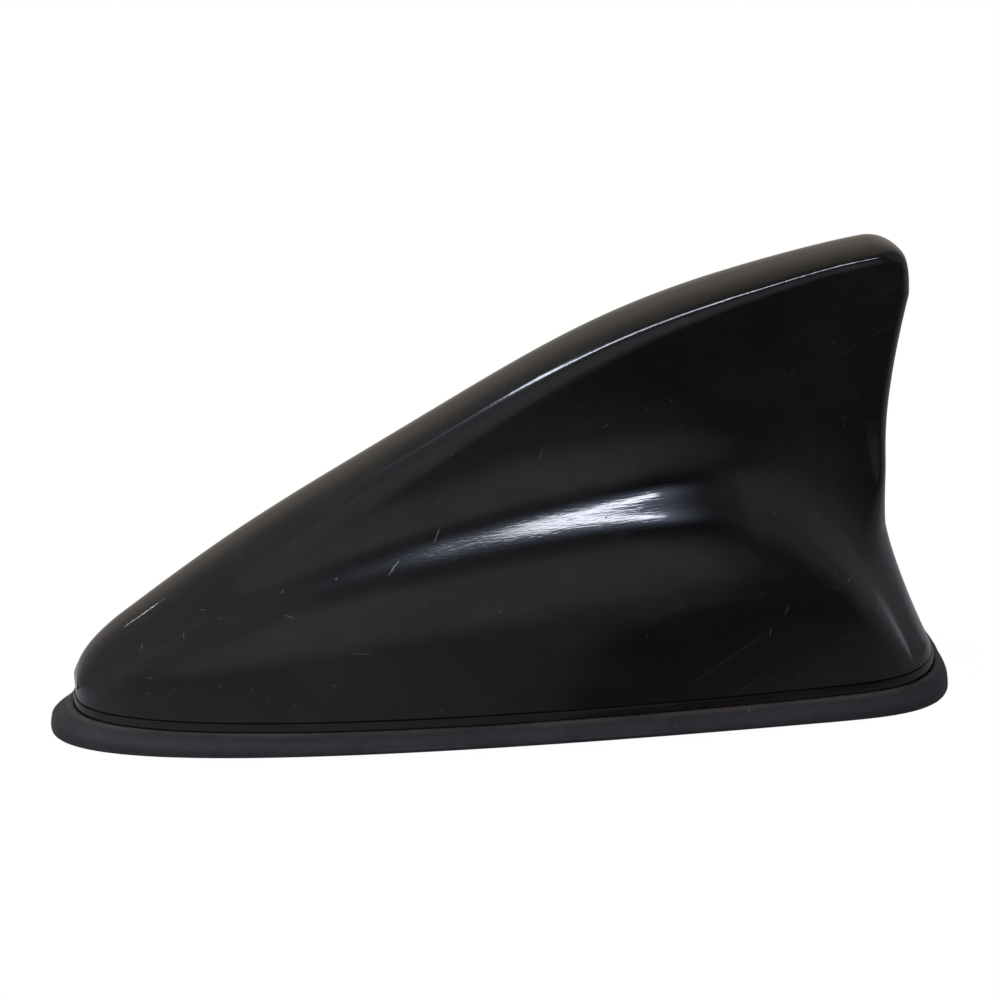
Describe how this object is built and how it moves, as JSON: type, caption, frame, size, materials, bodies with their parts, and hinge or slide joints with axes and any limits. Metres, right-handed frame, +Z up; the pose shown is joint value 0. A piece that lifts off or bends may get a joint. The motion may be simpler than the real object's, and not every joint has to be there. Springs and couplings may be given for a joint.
{
  "type": "shark fin aerial",
  "caption": "Roof aerial with a scooped fin-shaped moulded cover on a cast base, sealed by a flared rubber gasket, with the antenna elements and board inside.",
  "frame": {"origin": "bottom centre of the bounding box: mid length and mid width at the lowest edge of the gasket, which is the roof plane", "axes": "+X along the length from the nose to the tail, +Y to the aerial's right seen from the tail, +Z up away from the roof"},
  "size_m": [0.165, 0.0698, 0.0798],
  "materials": {
    "gloss_cover": "deep gloss moulded plastic with light handling scratches",
    "skirt_rubber": "matt moulded rubber with dust along the lip",
    "seal_foam": "matt soft rubber",
    "cast_alloy": "as-cast light alloy",
    "brass": "turned brass",
    "zinc_steel": "zinc-plated steel",
    "tin_plate": "tinned sheet steel",
    "board_green": "green solder mask on glass laminate",
    "chip_black": "moulded black component bodies",
    "pad_white": "adhesive foam pad",
    "patch_ceramic": "fired ceramic",
    "silver_foil": "fired silver layer",
    "frame_plastic": "natural moulded plastic",
    "copper_wire": "enamelled copper wire"
  },
  "bodies": {
    "root": {"cover": "gloss_cover", "base_gasket": "skirt_rubber", "base_plate": "cast_alloy", "housing_seal": "seal_foam", "mounting_insert": "brass", "ground_ring": "zinc_steel", "boss_gasket": "seal_foam", "cable_grommet": "seal_foam", "cover_screws": "zinc_steel", "main_board": "board_green", "board_screws": "zinc_steel", "shield_can": "tin_plate", "board_chips": "chip_black", "board_jacks": "brass", "patch_pad": "pad_white", "gnss_patch": "patch_ceramic", "patch_electrode": "silver_foil", "patch_pin": "brass", "antenna_carrier": "frame_plastic", "carrier_screws": "zinc_steel", "coil_former": "frame_plastic", "fm_coil": "copper_wire", "top_load": "tin_plate", "lte_blade": "brass", "contact_spring": "brass"}
  },
  "joints": []
}
